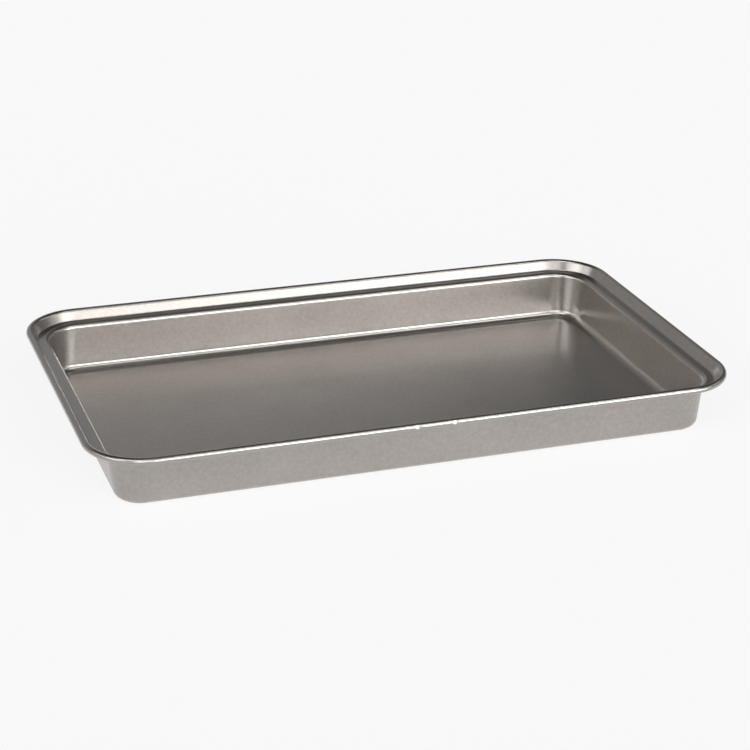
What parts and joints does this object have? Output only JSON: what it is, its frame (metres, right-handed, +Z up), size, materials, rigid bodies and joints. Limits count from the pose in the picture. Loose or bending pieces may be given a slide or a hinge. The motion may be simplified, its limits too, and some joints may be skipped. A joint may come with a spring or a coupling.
{
  "type": "brownie pan",
  "caption": "Shallow rectangular baking pan pressed from coated sheet steel, with rounded corners, drafted walls, a stepped ledge and a wire-stiffened rolled rim.",
  "frame": {"origin": "middle of the underside, on the plane that the pan rests on", "axes": "+X along the long sides, +Y along the short sides, +Z up, out of the pan's open top"},
  "size_m": [0.38, 0.224, 0.035],
  "materials": {
    "coated_steel": "satin warm-grey non-stick coating on pressed sheet steel",
    "bare_wire": "drawn steel wire, bare"
  },
  "bodies": {
    "root": {"pan_body": "coated_steel", "rim_wire": "bare_wire"}
  },
  "joints": []
}
